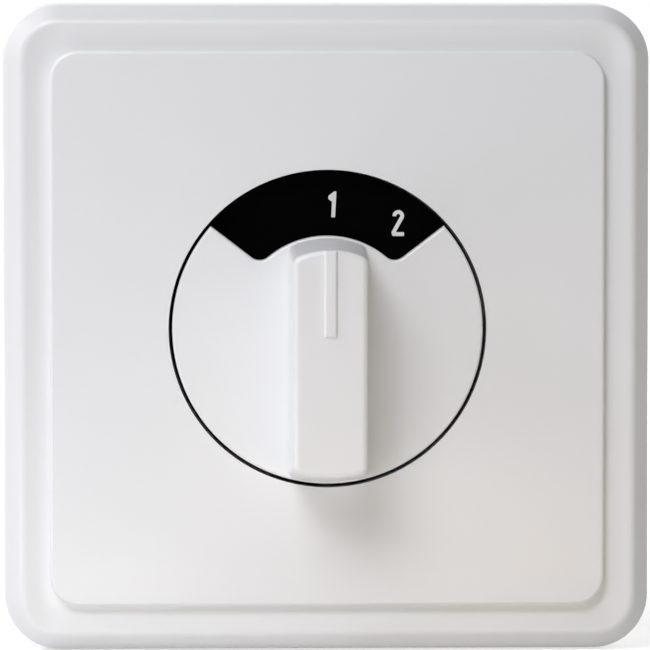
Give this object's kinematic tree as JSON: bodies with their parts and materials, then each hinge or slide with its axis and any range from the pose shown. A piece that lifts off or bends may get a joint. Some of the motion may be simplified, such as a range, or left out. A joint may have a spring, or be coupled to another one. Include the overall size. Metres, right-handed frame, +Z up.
{
  "type": "fan speed control switch",
  "caption": "Flush-mounted rotary fan speed switch: square white cover, round knob with a grip bar and a window on a numbered scale, and an insert behind the wall.",
  "frame": {"origin": "on the knob's axis, in the plane of the finished wall", "axes": "+Z up on the wall, -Y out into the room, +X to the right seen from the room"},
  "size_m": [0.08, 0.0474, 0.08],
  "materials": {
    "white_plastic": "smooth, light gloss",
    "black_plastic": "matt",
    "insert_plastic": "moulded, matt",
    "rotor_plastic": "moulded, matt",
    "zinc_steel": "zinc plated",
    "turned_steel": "turned",
    "spring_steel": "bright strip",
    "brass": "stamped",
    "bronze": "stamped"
  },
  "bodies": {
    "mount": {"cover_frame": "white_plastic", "center_plate": "white_plastic", "scale_disc": "black_plastic", "fixing_nut": "zinc_steel", "lock_washer": "spring_steel", "support_ring": "zinc_steel", "housing_cover": "insert_plastic", "housing_base": "insert_plastic", "detent_spring_left": "spring_steel", "detent_spring_right": "spring_steel", "contact_strip_common": "brass", "contact_strip_one": "brass", "contact_strip_two": "brass", "terminal_block_common": "brass", "terminal_block_one": "brass", "terminal_block_two": "brass", "terminal_screw_common": "zinc_steel", "terminal_screw_one": "zinc_steel", "terminal_screw_two": "zinc_steel", "housing_screw_1": "zinc_steel", "housing_screw_2": "zinc_steel", "housing_screw_3": "zinc_steel", "housing_screw_4": "zinc_steel"},
    "rotor": {"knob": "white_plastic", "knob_spring": "spring_steel", "spindle": "turned_steel", "detent_rotor": "rotor_plastic", "thrust_washer": "spring_steel", "contact_wiper": "bronze"}
  },
  "joints": [
    {"name": "knob_turn", "type": "hinge", "parent": "mount", "child": "rotor", "pos_m": [0, 0, 0], "axis": [0, 1, 0], "range_deg": [-30, 30], "deforming": ["detent_spring_left", "detent_spring_right"]}
  ]
}
